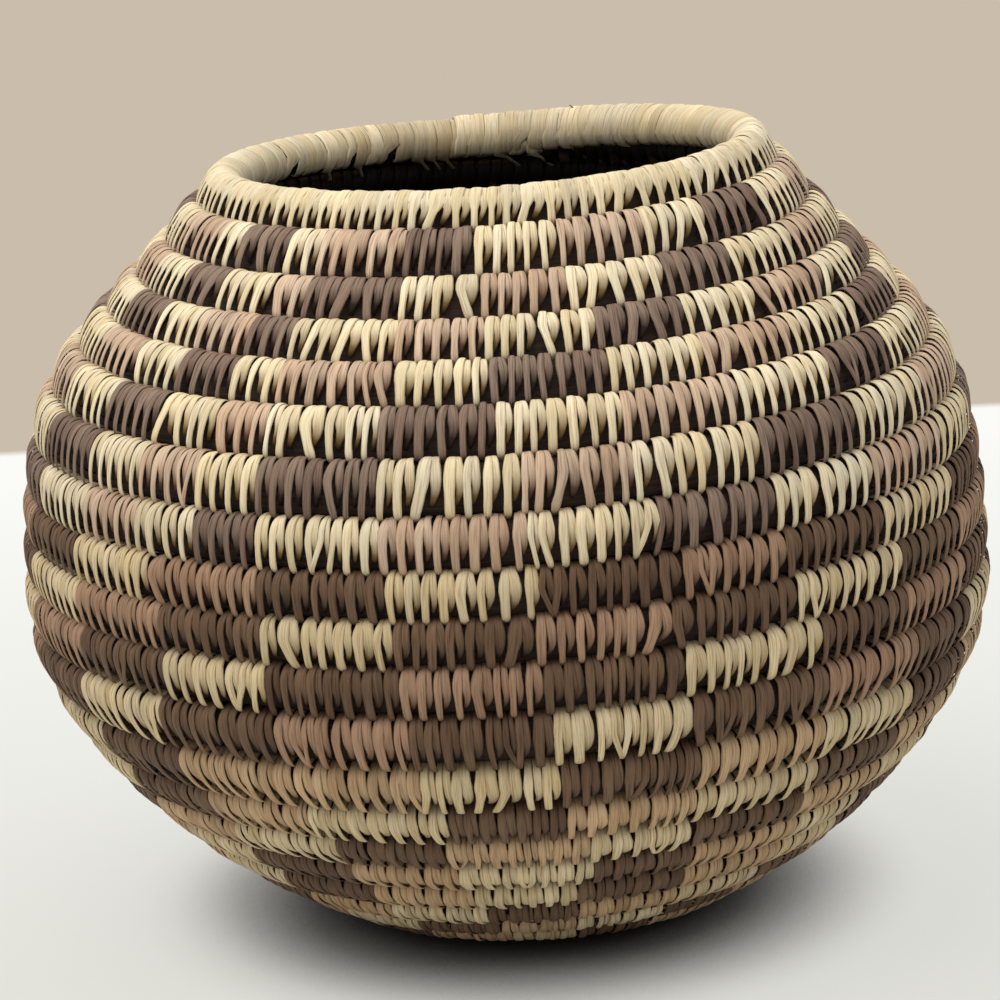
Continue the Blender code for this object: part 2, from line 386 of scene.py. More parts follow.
def stitchSides(turns, close, low, draws):
    # Where each part of a stitch lies along the coil, in metres from the stitch's middle
    radius, _ = outlineAt(coilDistance(turns))
    around = fullTurn * radius
    before = np.r_[turns[1] - turns[0], np.diff(turns)] * around
    after = np.r_[np.diff(turns), turns[-1] - turns[-2]] * around
    room = 0.5 * (before + after)

    def wobble(strand):
        spread = stitch["wobble"][strand]
        return draws.normal(0.0, spread, len(turns)) * room * (1.0 - stitch["closeSteady"] * close)

    leg = -stitch["legAside"] * room + wobble("leg")
    wrap = stitch["wrapAside"] * room + wobble("wrap")
    notches = 0.5 * (turns[1:] + turns[:-1])
    lean = stitch["lean"] * stitch["pitch"] * softWaver(turns, stitch["leanTurns"], draws)
    wanted = turns - 1.0 + (leg + lean + wobble("notch")) / around
    found = np.clip(np.searchsorted(notches, wanted), 1, len(notches) - 1)
    nearer = np.abs(notches[found - 1] - wanted) < np.abs(notches[found] - wanted)
    notch = notches[np.where(nearer, found - 1, found)]
    tip = np.where(turns > stitch["notchFrom"], (notch + 1.0 - turns) * around, leg + lean)
    furthest = stitch["tipReach"] * room
    tip = leg + np.clip(tip - leg, -furthest, furthest) + wobble("tip")
    nextTip = np.r_[tip[1:], tip[-1]] + after
    # At the top a leg and its wrap draw together, and follow a little where the hand set them
    legTopAside = stitch["legTopAside"] + stitch["closeTopAside"] * close + stitch["lowTopAside"] * low
    legTop = -legTopAside * room + wobble("top")
    legTop = legTop + stitch["topFollow"] * (leg + stitch["legAside"] * room)
    wrapTopAside = stitch["wrapTopAside"] + stitch["closeTopAside"] * close + stitch["lowTopAside"] * low
    wrapTop = wrapTopAside * room + wobble("top")
    wrapTop = wrapTop + stitch["topFollow"] * (wrap - stitch["wrapAside"] * room)
    underAside = stitch["underAside"] + stitch["closeUnderAside"] * close
    under = wrap - underAside * room + wobble("under")
    # Between these places a strand bends over by the shares written here
    sides = {
        "tip": tip,
        "ankle": 0.88 * tip + 0.12 * leg,
        "shin": 0.60 * tip + 0.40 * leg,
        "knee": 0.30 * tip + 0.70 * leg,
        "leg": leg,
        "legUpper": 0.70 * leg + 0.30 * legTop,
        "legHigh": 0.30 * leg + 0.70 * legTop,
        "legTop": legTop,
        "backHigh": 0.6 * legTop + 0.4 * under - stitch["backAside"] * room,
        "backLow": 0.2 * legTop + 0.8 * under - stitch["backAside"] * room,
        "under": under,
        "wrapLow": 0.5 * (wrap + under),
        "wrap": wrap,
        "wrapUpper": 0.70 * wrap + 0.30 * wrapTop,
        "wrapHigh": 0.30 * wrap + 0.70 * wrapTop,
        "wrapTop": wrapTop,
        "inHigh": wrapTop + stitch["inHighAside"] * room,
        "inMiddle": 0.9 * wrapTop + 0.1 * nextTip + stitch["inMiddleAside"] * room,
        "inLow": 0.7 * wrapTop + 0.3 * nextTip,
        "nextTip": nextTip,
    }
    return sides, room, around


def smoothRoute(points, steps):
    # A smooth line through every place of every stitch, cut as finely as each span asks
    first = 2.0 * points[:, :1] - points[:, 1:2]
    last = 2.0 * points[:, -1:] - points[:, -2:-1]
    padded = np.concatenate([first, points, last], 1)
    pieces = []
    for span, count in enumerate(steps[:-1]):
        before, start, end, after = (padded[:, span + i] for i in range(4))
        for step in range(count):
            share = step / count
            straight = 2.0 * start + (end - before) * share
            bend = (2.0 * before - 5.0 * start + 4.0 * end - after) * share ** 2
            twist = (3.0 * start - before - 3.0 * end + after) * share ** 3
            pieces.append(0.5 * (straight + bend + twist))
    return np.stack(pieces + [points[:, -1]], 1)


def unit(vectors):
    return vectors / np.maximum(np.linalg.norm(vectors, axis=-1, keepdims=True), 1e-12)


def sweepStrips(points, turn, width, thickness):
    # A closed strip along each line, lying flat against the coil
    along = unit(np.gradient(points, axis=1))
    angle = wall["seamAngle"] + fullTurn * turn
    coilWay = np.stack([-np.sin(angle), np.cos(angle), np.zeros_like(angle)], -1)
    across = unit(coilWay - along * np.sum(coilWay * along, -1, keepdims=True))
    face = np.cross(across, along)
    sides = across[:, :, None, :] * (stripSection[:, 0] * width[..., None])[..., None]
    lifts = face[:, :, None, :] * (stripSection[:, 1] * thickness)[:, None]
    return points[:, :, None, :] + sides + lifts


draws = np.random.RandomState(stitch["seed"])
stitchTurns = layStitches(draws)
stitchCount = len(stitchTurns)
# What its row asks of each stitch
stitchRow = allTurns - np.floor(stitchTurns).astype(int)
closeness = np.interp(stitchRow, stitch["closeRows"], stitch["close"])
wrapRise = np.interp(stitchRow, stitch["riseRows"], stitch["rise"])
# Painted shade of the wraps where they dive under the coil, a little lighter in the low rows
wrapShade = np.interp(stitchRow, stitch["soilRows"], stitch["wrapShade"])
lowRow = np.interp(stitchRow, stitch["lowRows"], (0.0, 1.0))
stitchSide, stitchRoom, stitchAround = stitchSides(stitchTurns, closeness, lowRow, draws)

# The rim's worn places: slits and stains
onRim = stitchTurns > allTurns - rim["before"]
sinceRim = stitchTurns - allTurns
slit = np.zeros(stitchCount, bool)
for place in rim["slits"]:
    slit[np.argmin(np.abs(sinceRim - place))] = True
stain = np.zeros(stitchCount)
for first, last, amount in rim["stains"]:
    stain[(sinceRim >= first) & (sinceRim <= last)] = amount
for side, aside in rim["slitAside"].items():
    stitchSide[side] = stitchSide[side] + slit * aside * stitchRoom

# The strands on the inside that stay paler. Under the rim they are thin legs that lean back.
paleShare = np.where(onRim, rim["legShare"], stitch["paleShare"])
paleInside = draws.uniform(0.0, 1.0, stitchCount) < paleShare
rimLeg = onRim & paleInside
leaned = stitchSide["wrapTop"] - rim["legBack"] * stitchRoom
turned = (1.0 - rim["legTurned"]) * stitchSide["wrapTop"] + rim["legTurned"] * leaned
stitchSide["inLow"] = np.where(rimLeg, turned, stitchSide["inLow"])
stitchSide["nextTip"] = np.where(rimLeg, leaned, stitchSide["nextTip"])


def stationWidth(down, broad, side):
    # Tops are broader where they lie close, and legs are a little slimmer there
    wide = broad * (1.0 - stitch["slimLegs"] * closeness)
    if down < stitch["topTo"] or side in ("inMiddle", "inLow"):
        inside = rim["insideWidth"] if side.startswith("in") else 1.0
        close = np.where(onRim, rim["width"] * inside, stitch["closeWidth"])
        wide = broad + closeness * np.maximum(0.0, close - broad)
    if side in rim["slitWidth"] and down > rim["slitFrom"]:
        wide = np.where(slit, rim["slitWidth"][side], wide)
    if side in ("inLow", "nextTip"):
        wide = np.where(onRim, np.where(paleInside, rim["legWidth"], rim["width"]), wide)
    if side.endswith(("Upper", "High", "Top")) and side != "inHigh":
        wide = wide + lowRow * stitch["lowTopWidth"]
    return wide * stitchRoom


def stationDown(down, side):
    # In the upper rows the short wraps end higher up, and the rim's sink in at its inner edge
    if side == "inMiddle":
        return np.where(onRim, rim["middleDown"], down)
    if side == "inLow":
        return np.where(rimLeg, rim["legDown"], np.where(onRim, rim["edgeDown"], down))
    short = down > 0.0 and side in ("under", "wrapLow", "wrap", "backLow")
    return down - wrapRise * short


def stationOut(down, out, side):
    # Where the tops lie close, the short wraps lie as high as the long legs do
    if side in ("inLow", "nextTip"):
        sunk = rim["edgeOut"] if side == "inLow" else max(out, rim["sunkOut"])
        return np.where(onRim & ~paleInside, sunk, out + rim["legOut"] * rimLeg * (side == "nextTip"))
    if out < 0.0 or not side.startswith("wrap"):
        return np.full(stitchCount, out)
    full = math.sqrt(max(0.0, 1.0 - (2.0 * down) ** 2))
    return out + closeness * stitch["closeLift"] * max(0.0, full - out) * (down < stitch["topTo"])


def stationShadeAndStain(out, side, soil):
    # How dark each station is painted: painted shade where a strand dives under the coil, and the inside of
    # the wall painted nearly black as shade, all but the rim's upper part and a few strands. On the rim the
    # real stains are added.
    onCourse = np.full(stitchCount, soil)
    onTheRim = rim["faceShade"] * soil + stain
    if side in ("under", "wrapLow", "wrap"):
        onCourse = soil * wrapShade
        onTheRim = np.full(stitchCount, soil * rim["wrapShade"][side])
    if side == "nextTip" or out < stitch["innerFrom"]:
        pale = paleInside & (side in ("inMiddle", "inLow", "nextTip"))
        onCourse = np.where(pale, stitch["paleInner"], stitch["innerShade"])
        onTheRim = rim["insideShade"] * soil + stain
        if side in ("inLow", "nextTip"):
            onTheRim = np.where(paleInside, rim["legShade"], stitch["innerShade"])
    return np.where(onRim, onTheRim, onCourse)


# Every stitch's line: place along the coil, down, out, width and painted shade (with the rim's stains) at
# each of its stations
stations = [np.stack([stitchSide[side], stationDown(down, side), stationOut(down, out, side),
                      stationWidth(down, broad, side), stationShadeAndStain(out, side, soil)], -1)
            for down, out, side, broad, soil, _ in route]
lines = smoothRoute(np.stack(stations, 1), [station[-1] for station in route])
stationCount = lines.shape[1]
print("stitches", stitchCount, "stations", stationCount)

# Hand variation: each leg and each wrap has its own width, lift and height
alongLine = np.linspace(0.0, 1.0, stationCount)[None, :]
wrapShare = np.clip((alongLine - stitch["wrapFrom"]) / stitch["wrapOver"], 0.0, 1.0)


def legAndWrap(spread, limit):
    # One random share for a stitch's leg and one for its wrap
    drawn = np.clip(draws.normal(0.0, spread, (stitchCount, 2)), -limit, limit)
    return drawn[:, :1] * (1.0 - wrapShare) + drawn[:, 1:] * wrapShare


spreadHere = (1.0 - stitch["closeEven"] * closeness)[:, None]
uneven = draws.normal(0.0, stitch["unevenWidth"], lines.shape[:2])
uneven = (uneven + np.roll(uneven, 1, 1) + np.roll(uneven, 2, 1)) / stitch["unevenEased"]
lineWidth = lines[..., 3] * (1.0 + spreadHere * (legAndWrap(*stitch["widthSpread"]) + uneven))
lineOut = lines[..., 2] * (1.0 + spreadHere * legAndWrap(*stitch["liftSpread"]))
nearTop = np.clip(-2.0 * lines[..., 1], 0.0, 1.0)
lineDown = lines[..., 1] + legAndWrap(*stitch["topSpread"]) * nearTop
lineTurn = stitchTurns[:, None] + lines[..., 0] / np.maximum(stitchAround, stitch["leastAround"])[:, None]
heldTurn = np.clip(lineTurn, wall["startTurn"], allTurns + wall["rimEnd"])
linePoints = coilPoint(heldTurn, lineDown, lineOut)
strips = sweepStrips(linePoints, lineTurn, lineWidth, stitch["thickness"])

# The colours of the blocks
# The weaver changes splints 23 times a turn, so each course's blocks sit one place on from those below.
pattern = {
    "blocksPerTurn": 23,
    "firstEdge": 28.3,
    "upperRepeat": ("tan", "straw", "dark", "straw"),
    "middleRepeat": ("dark", "straw", "dark", "tan"),
    "lowerRepeat": ("tan", "straw", "dark"),
    "middleFrom": 8,
    "lowerFrom": 12,
    # From this course down, these splints have browned
    "browned": ((8, {"straw": "oldStraw", "tan": "russet", "dark": "umber"}), (12, {"russet": "wheat"})),
    "plainEnd": 0.05,
    "topSqueeze": 0.115,
    "squeezePerCourse": 0.0135,
    "driftCourses": (1, 4, 7, 15),
    "drift": (-3.0, -1.5, 0.0, 2.3),
    "narrowRate": 1.565,
    "narrowGain": 16.95,
    # Where the weaver lost or gained a block: from this course, to this course, below this block, by how many
    "slips": ((1, 3, 2, -1), (8, 11, 7, -1), (12, 12, 12, 1), (16, 19, 99, -1)),
}
colourNames = ["straw", "tan", "dark", "oldStraw", "russet", "wheat", "umber"]


def stitchColours(turns):
    # The course under the rim is 1, and the front is where the turn is halfway
    course = allTurns - np.floor(turns).astype(int)
    drift = np.interp(course, pattern["driftCourses"], pattern["drift"])
    around = np.radians(360.0 * (turns - np.floor(turns)) - 180.0 + pattern["firstEdge"] - drift)
    # Left of the front, three columns of the upper courses were sewn narrower
    narrow = np.maximum(around * pattern["narrowRate"], around - math.radians(pattern["narrowGain"]))
    around = np.where((course < pattern["middleFrom"]) & (around < 0.0), narrow, around)
    squeeze = pattern["topSqueeze"] - pattern["squeezePerCourse"] * (course - 1)
    squeezed = around + squeeze * np.sin(around)
    block = np.floor(squeezed * pattern["blocksPerTurn"] / fullTurn).astype(int) + course
    for first, last, below, shift in pattern["slips"]:
        block = block + shift * ((course >= first) & (course <= last) & (block < below))
    names = []
    for turn, index, row in zip(turns, block, course):
        repeat = pattern["upperRepeat"]
        if row >= pattern["middleFrom"]:
            repeat = pattern["middleRepeat"]
        if row >= pattern["lowerFrom"]:
            repeat = pattern["lowerRepeat"]
        plain = row < 1 or row > wall["wallTurns"] or turn > allTurns - pattern["plainEnd"]
        name = "straw" if plain else repeat[index % len(repeat)]
        for first, aged in pattern["browned"]:
            if row >= first:
                name = aged.get(name, name)
        names.append(name)
    return np.array([colourNames.index(name) for name in names])


stitchColour = stitchColours(stitchTurns)


# Materials
def linear(hexColour):
    # An sRGB hex value as the linear colour that Blender's sockets take
    channels = [int(hexColour[i:i + 2], 16) / 255.0 for i in (1, 3, 5)]
    return tuple(c / 12.92 if c <= 0.04045 else ((c + 0.055) / 1.055) ** 2.4 for c in channels) + (1.0,)


def newMaterial(name):
    material = bpy.data.materials.new(name)
    material.use_nodes = True
    material.node_tree.nodes.clear()
    return material, material.node_tree


def addNode(tree, kind, settings=None, links=None):
    # Settings go to the node's own values or its input sockets, links join its inputs to other sockets
    node = tree.nodes.new(kind)
    for name, value in (settings or {}).items():
        if isinstance(name, str) and hasattr(node, name):
            setattr(node, name, value)
        else:
            node.inputs[name].default_value = value
    for name, socket in (links or {}).items():
        tree.links.new(socket, node.inputs[name])
    return node


def addMix(tree, share, first, second):
    # Blends from the first colour to the second, each one a hex value or a socket. The mix node takes
    # colours at its inputs 6 and 7 and gives one at its output 2.
    settings, links = {"data_type": "RGBA"}, {0: share}
    for place, colour in ((6, first), (7, second)):
        if isinstance(colour, str):
            settings[place] = linear(colour)
        else:
            links[place] = colour
    return addNode(tree, "ShaderNodeMix", settings, links).outputs[2]


def addRange(tree, value, low, high, settings=None):
    # Spreads a value from low to high over 0 to 1, or over what the settings say
    limits = {"From Min": low, "From Max": high}
    return addNode(tree, "ShaderNodeMapRange", {**limits, **(settings or {})}, {"Value": value}).outputs[0]


splint = {
    # Fibre streaks to each metre of width, drawn coarse enough to show, and how often one changes lengthways
    "fibresAcross": 3.6 / millimetre,
    "fibresAlong": 0.12 / millimetre,
    "streaks": (0.44, 0.74),
    "roughness": (0.50, 0.78),
    "bump": 0.13 * millimetre,
    # Painted shade on the inside of the wall: near black, reached as the painted darkness runs from 1 to 2
    "innerShadeColour": "#1C130C",
    "innerDepth": (1.0, 2.0),
    # How far the streaks shift from one stitch to the next, and the steps that give each its chance
    # of an older face
    "shiftEach": 0.37,
    "chanceEach": 7.3,
    "chanceRange": 97.0,
}
splintColours = {
    # lit face, streak, painted shade of the part that dives between the courses (the rim's stains darken
    # towards it too), the face of an older splint
    "straw": ("#F4E9CC", "#C2A678", "#7E6238", "#E8D6AC"),
    "tan": ("#DAC2A8", "#9A7A60", "#5E4130", "#CAAA8C"),
    "dark": ("#98826F", "#57443B", "#2C1B13", "#806757"),
    "oldStraw": ("#EFDDB8", "#B2925F", "#6E5430", "#E0CA9C"),
    "russet": ("#BB987B", "#7E5E46", "#4E3626", "#A88468"),
    "wheat": ("#D9BA92", "#977350", "#5A3F26", "#C8A67C"),
    "umber": ("#84684F", "#4A3527", "#261810", "#6F543D"),
}


def splintMaterial(name, colours):
    # Split plant strip, dried flat: a satin face with long fibres, painted darker where it dives inwards and
    # near black on the inside of the wall, both painted shade; the rim's stains darken it the same way
    material, tree = newMaterial(name)
    litFace, streakColour, soiledColour, olderFace = colours
    strip = addNode(tree, "ShaderNodeAttribute", {"attribute_name": "strip"})
    tone = addNode(tree, "ShaderNodeAttribute", {"attribute_name": "tone"})
    depth = addNode(tree, "ShaderNodeAttribute", {"attribute_name": "depth"})
    stretch = addNode(tree, "ShaderNodeVectorMath",
                      {"operation": "MULTIPLY", 1: (splint["fibresAcross"], splint["fibresAlong"], 1.0)},
                      {0: strip.outputs["Vector"]})
    fibre = addNode(tree, "ShaderNodeTexNoise", {"Scale": 1.0, "Detail": 3.0, "Roughness": 0.6},
                    {"Vector": stretch.outputs[0]})
    streak = addRange(tree, fibre.outputs["Fac"], *splint["streaks"])
    split = addNode(tree, "ShaderNodeSeparateXYZ", {}, {0: strip.outputs["Vector"]})
    chance = addNode(tree, "ShaderNodeTexWhiteNoise", {"noise_dimensions": "1D"}, {"W": split.outputs[2]})
    clean = addMix(tree, chance.outputs["Value"], litFace, olderFace)
    face = addMix(tree, streak, clean, streakColour)
    soiled = addMix(tree, depth.outputs["Fac"], face, soiledColour)
    inside = addRange(tree, depth.outputs["Fac"], *splint["innerDepth"])
    insideShaded = addMix(tree, inside, soiled, splint["innerShadeColour"])
    shade = addNode(tree, "ShaderNodeHueSaturation", {}, {"Value": tone.outputs["Fac"], "Color": insideShaded})
    smooth, coarse = splint["roughness"]
    rough = addRange(tree, fibre.outputs["Fac"], 0.0, 1.0, {"To Min": smooth, "To Max": coarse})
    bump = addNode(tree, "ShaderNodeBump", {"Strength": 0.6, "Distance": splint["bump"]},
                   {"Height": fibre.outputs["Fac"]})
    shader = addNode(tree, "ShaderNodeBsdfPrincipled", {"IOR": 1.45, "Specular IOR Level": 0.3},
                     {"Base Color": shade.outputs[0], "Roughness": rough, "Normal": bump.outputs[0]})
    addNode(tree, "ShaderNodeOutputMaterial", {}, {"Surface": shader.outputs[0]})
    return material


grass = {
    # Stems to each metre round the bundle, and how often one changes lengthways
    "stemsAround": 1.6 / millimetre,
    "stemsAlong": 0.05 / millimetre,
    "stems": (0.35, 0.70),
    # Near-black colours: painted shade for the deep gaps between the legs
    "deepColour": "#1A0F08",
    "stemColour": "#3C2719",
    "bump": 0.3 * millimetre,
}


def grassMaterial():
    # Bundle of dry grass stems inside the wraps, in deep shade; its near-black colours are painted shade
    material, tree = newMaterial("grassBundle")
    strip = addNode(tree, "ShaderNodeAttribute", {"attribute_name": "strip"})
    stretch = addNode(tree, "ShaderNodeVectorMath",
                      {"operation": "MULTIPLY", 1: (grass["stemsAround"], grass["stemsAlong"], 1.0)},
                      {0: strip.outputs["Vector"]})
    stem = addNode(tree, "ShaderNodeTexNoise", {"Scale": 1.0, "Detail": 3.0}, {"Vector": stretch.outputs[0]})
    light = addRange(tree, stem.outputs["Fac"], *grass["stems"])
    colour = addMix(tree, light, grass["deepColour"], grass["stemColour"])
    bump = addNode(tree, "ShaderNodeBump", {"Strength": 0.8, "Distance": grass["bump"]},
                   {"Height": stem.outputs["Fac"]})
    shader = addNode(tree, "ShaderNodeBsdfPrincipled", {"Roughness": 0.85},
                     {"Base Color": colour, "Normal": bump.outputs[0]})
    addNode(tree, "ShaderNodeOutputMaterial", {}, {"Surface": shader.outputs[0]})
    return material


materials = [splintMaterial(name + "Splint", splintColours[name]) for name in colourNames] + [grassMaterial()]
grassIndex = len(colourNames)
strawIndex = colourNames.index("straw")


# Building the pieces
class Parts:
    # Collects closed tubes, and then makes one mesh of them with the values that the materials read
    def __init__(self):
        self.vertices, self.faces = [], []
        self.strip, self.tone, self.depth = [], [], []
        self.count = 0

    def addTubes(self, rings, material, strip, tone, depth):
        # rings: tubes, stations, sides, 3
        tubes, stations, sides, _ = rings.shape
        self.vertices.append(rings.reshape(-1, 3))
        first = self.count + np.arange(tubes)[:, None, None] * stations * sides
        station = np.arange(stations - 1)[None, :, None] * sides
        side = np.arange(sides)[None, None, :]
        onward = (side + 1) % sides
        near, far = first + station, first + station + sides
        quads = np.stack([near + side, near + onward, far + onward, far + side], -1).reshape(-1, 4)
        self.faces.append((quads, np.repeat(material, (stations - 1) * sides)))
        start = self.count + np.arange(tubes)[:, None] * stations * sides + np.arange(sides)[::-1][None, :]
        end = start[:, ::-1] + (stations - 1) * sides
        self.faces.append((start, np.asarray(material)))
        self.faces.append((end, np.asarray(material)))
        self.strip.append(strip.reshape(-1, 3))
        self.tone.append(tone.reshape(-1))
        self.depth.append(depth.reshape(-1))
        self.count += tubes * stations * sides

    def make(self, name):
        mesh = bpy.data.meshes.new(name)
        vertices = np.concatenate(self.vertices)
        corners = np.concatenate([faces.reshape(-1) for faces, _ in self.faces])
        sizes = np.concatenate([np.full(len(faces), faces.shape[1]) for faces, _ in self.faces])
        kinds = np.concatenate([kind for _, kind in self.faces])
        starts = np.r_[0, np.cumsum(sizes)[:-1]]
        mesh.vertices.add(len(vertices))
        mesh.vertices.foreach_set("co", vertices.astype(np.float32).ravel())
        mesh.loops.add(len(corners))
        mesh.loops.foreach_set("vertex_index", corners.astype(np.int32))
        mesh.polygons.add(len(sizes))
        mesh.polygons.foreach_set("loop_start", starts.astype(np.int32))
        mesh.polygons.foreach_set("material_index", kinds.astype(np.int32))
        mesh.update(calc_edges=True)
        mesh.polygons.foreach_set("use_smooth", (sizes == 4))
        for label, kind, values in (("strip", "FLOAT_VECTOR", self.strip), ("tone", "FLOAT", self.tone),
                                    ("depth", "FLOAT", self.depth)):
            attribute = mesh.attributes.new(label, kind, "POINT")
            key = "vector" if kind == "FLOAT_VECTOR" else "value"
            attribute.data.foreach_set(key, np.concatenate(values).astype(np.float32).ravel())
        for material in materials:
            mesh.materials.append(material)
        mesh.validate()
        piece = bpy.data.objects.new(name, mesh)
        bpy.context.scene.collection.objects.link(piece)
        return piece


bundle = {
    # The bundle's section: fat behind the wraps and pinched back where the legs cross the gap
    "section": ((-0.490, 0.05), (-0.450, 0.28), (-0.360, 0.48), (-0.230, 0.64), (-0.080, 0.68), (0.060, 0.58),
                (0.180, 0.42), (0.330, 0.30), (0.460, 0.22), (0.500, 0.00), (0.460, -0.26), (0.330, -0.40),
                (0.180, -0.46), (0.060, -0.52), (-0.080, -0.62), (-0.250, -0.64), (-0.400, -0.44),
                (-0.470, -0.20)),
    "step": 2.5 * millimetre,
    "sideStep": 2.0 * millimetre,
}


def addBundle(parts, firstTurn, lastTurn):
    section = np.array(bundle["section"])
    radius, _ = outlineAt(coilDistance(np.array(0.5 * (firstTurn + lastTurn))))
    count = int(fullTurn * float(radius) * (lastTurn - firstTurn) / bundle["step"]) + 2
    turns = np.linspace(firstTurn, lastTurn, count)
    ringTurns = np.repeat(turns[:, None], len(section), 1)
    rings = coilPoint(ringTurns, section[None, :, 0], section[None, :, 1])
    around = np.arange(len(section)) * bundle["sideStep"]
    strip = np.stack([np.repeat(around[None, :], count, 0), ringTurns * fullTurn * float(radius),
                      np.full(ringTurns.shape, firstTurn)], -1)
    flat = np.zeros(ringTurns.shape)
    parts.addTubes(rings[None], np.array([grassIndex]), strip, flat, flat)


stitchToneAndShade = 1.0 + np.clip(draws.normal(0.0, stitch["toneSpread"], stitchCount), *stitch["toneLimits"])
# Painted shade: each row's tone, darker in the lower rows
stitchToneAndShade *= np.interp(stitchRow, stitch["shadeRows"], stitch["tone"])


def addStitches(parts, chosen):
    # The strip's coordinates: across it, along it, and a number of its own for chance
    step = np.linalg.norm(np.diff(linePoints[chosen], axis=1), axis=2)
    along = np.concatenate([np.zeros((len(chosen), 1)), np.cumsum(step, 1)], 1)
    across = stripSection[:, 0] * lineWidth[chosen][..., None]
    shape = across.shape
    number = chosen.astype(float)[:, None, None]
    shifted = along[..., None] + splint["shiftEach"] * number
    chance = splint["chanceEach"] * number % splint["chanceRange"]
    strip = np.stack([across, np.broadcast_to(shifted, shape), np.broadcast_to(chance, shape)], -1)
    tone = np.broadcast_to(stitchToneAndShade[chosen][:, None, None], shape)
    # The painted shade of each station, with the rim's real stains added
    soil = np.clip(lines[chosen][..., 4], 0.0, splint["innerDepth"][1])
    parts.addTubes(strips[chosen], stitchColour[chosen], strip, tone, np.broadcast_to(soil[..., None], shape))


def dress(piece, node):
    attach(piece, "root")
    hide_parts(node)


# A loose fibre that stands up from the back of the rim
tail = {
    "turn": 0.945,
    "downOut": ((-0.36, 0.66), (-0.44, 0.62), (-0.50, 0.60), (-0.55, 0.60), (-0.60, 0.62)),
    "drift": 0.0011,
    "width": (0.50 * millimetre, 0.12 * millimetre),
    "chance": 5.0,
    "tone": 0.8,
}


def addTail(parts):
    places = np.array(tail["downOut"])
    turns = allTurns + tail["turn"] + tail["drift"] * np.arange(len(places))
    points = coilPoint(turns, places[:, 0], places[:, 1])[None]
    width = np.linspace(*tail["width"], len(places))[None]
    rings = sweepStrips(points, turns[None], width, stitch["thickness"])
    flat = np.ones(rings.shape[:3])
    along = np.broadcast_to(turns[None, :, None], flat.shape)
    strip = np.stack([flat * 0.0, along, flat * tail["chance"]], -1)
    parts.addTubes(rings, np.array([strawIndex]), strip, flat * tail["tone"], flat)


courses = [("base_coil", wall["startTurn"], wall["baseTurns"])]
courses += [(f"wall_course_{row + 1:02d}", wall["baseTurns"] + row, wall["baseTurns"] + row + 1)
            for row in range(wall["wallTurns"])]
courses += [("rim_coil", allTurns, allTurns + 1)]
for node, firstTurn, lastTurn in courses:
    parts = Parts()
    addBundle(parts, firstTurn, lastTurn)
    chosen = (stitchTurns >= firstTurn) & ((stitchTurns < lastTurn) | (lastTurn > allTurns))
    addStitches(parts, np.nonzero(chosen)[0])
    if node == "rim_coil":
        addTail(parts)
    dress(parts.make(node + "_stitched"), node)
print("courses", len(courses))

# The start knot
# A small ring of grass, wrapped through its middle until it closes to a button.
knot = {
    "middle": 3.25 * millimetre,
    "halfAcross": 2.15 * millimetre,
    "halfHigh": 0.90,
    "coreShare": 0.86,
    "coreSides": 14,
    "coreSteps": 24,
    "coreTurns": 1.02,
    # The wraps: how far each swings round the section, how unevenly they start, and how they overlap
    "wraps": 13,
    "stations": 22,
    "wrapRound": 1.06,
    "uneven": 0.12,
    "cover": 1.12,
    "wrapLength": 20.0 * millimetre,
    "chanceEach": 50.0,
    # Lighter on the outside of the ring and painted darker towards its middle, a painted shade where the
    # wraps go through the hole
    "swings": (-1.0, 0.2),
    "soil": (1.0, 0.25),
    "tone": 0.82,
}


def knotRing(turn, swing, share):
    # A point of the ring's section, swung from the top outwards
    radius = knot["middle"] + knot["halfAcross"] * share * np.sin(swing)
    height = baseThick * (1.0 + knot["halfHigh"] * share * np.cos(swing))
    angle = wall["seamAngle"] + fullTurn * turn
    return np.stack([radius * np.cos(angle), radius * np.sin(angle), height], -1)


def addCore(parts):
    # The ring of grass inside the wraps
    turns = np.linspace(0.0, knot["coreTurns"], knot["coreSteps"])
    swings = -fullTurn * np.arange(knot["coreSides"]) / knot["coreSides"]
    turn, swing = np.meshgrid(turns, swings, indexing="ij")
    core = knotRing(turn, swing, knot["coreShare"])[None]
    flat = np.ones(core.shape[:3])
    strip = np.stack([flat * swing * knot["halfAcross"], flat * turn * knot["middle"], flat], -1)
    parts.addTubes(core, np.array([grassIndex]), strip, flat, flat * 0.0)


def addWraps(parts):
    # Each wrap swings once round the ring's section and moves on to where the next one starts
    starts = np.arange(knot["wraps"]) + draws.uniform(-knot["uneven"], knot["uneven"], knot["wraps"])
    starts = starts / knot["wraps"]
    swing = -0.5 * math.pi + np.linspace(0.0, knot["wrapRound"] * fullTurn, knot["stations"])
    turns = starts[:, None] + np.linspace(0.0, 1.0 / knot["wraps"], knot["stations"])[None, :]
    points = knotRing(turns, np.broadcast_to(swing, turns.shape), 1.0)
    reach = knot["middle"] + knot["halfAcross"] * np.sin(swing)
    width = np.broadcast_to(knot["cover"] * fullTurn * reach / knot["wraps"], turns.shape)
    rings = sweepStrips(points, turns, width, stitch["thickness"])
    flat = np.ones(rings.shape[:3])
    along = np.linspace(0.0, knot["wrapLength"], knot["stations"])[None, :, None]
    across = stripSection[:, 0] * width[..., None]
    chance = starts[:, None, None] * knot["chanceEach"]
    strip = np.stack([across, flat * along, flat * chance], -1)
    # Painted shade towards the ring's middle
    soil = np.interp(np.sin(swing), knot["swings"], knot["soil"])[None, :, None]
    parts.addTubes(rings, np.full(knot["wraps"], strawIndex), strip, flat * knot["tone"], flat * soil)


parts = Parts()
addCore(parts)
addWraps(parts)
dress(parts.make("start_knot_wrapped"), "start_knot")
print("start knot")

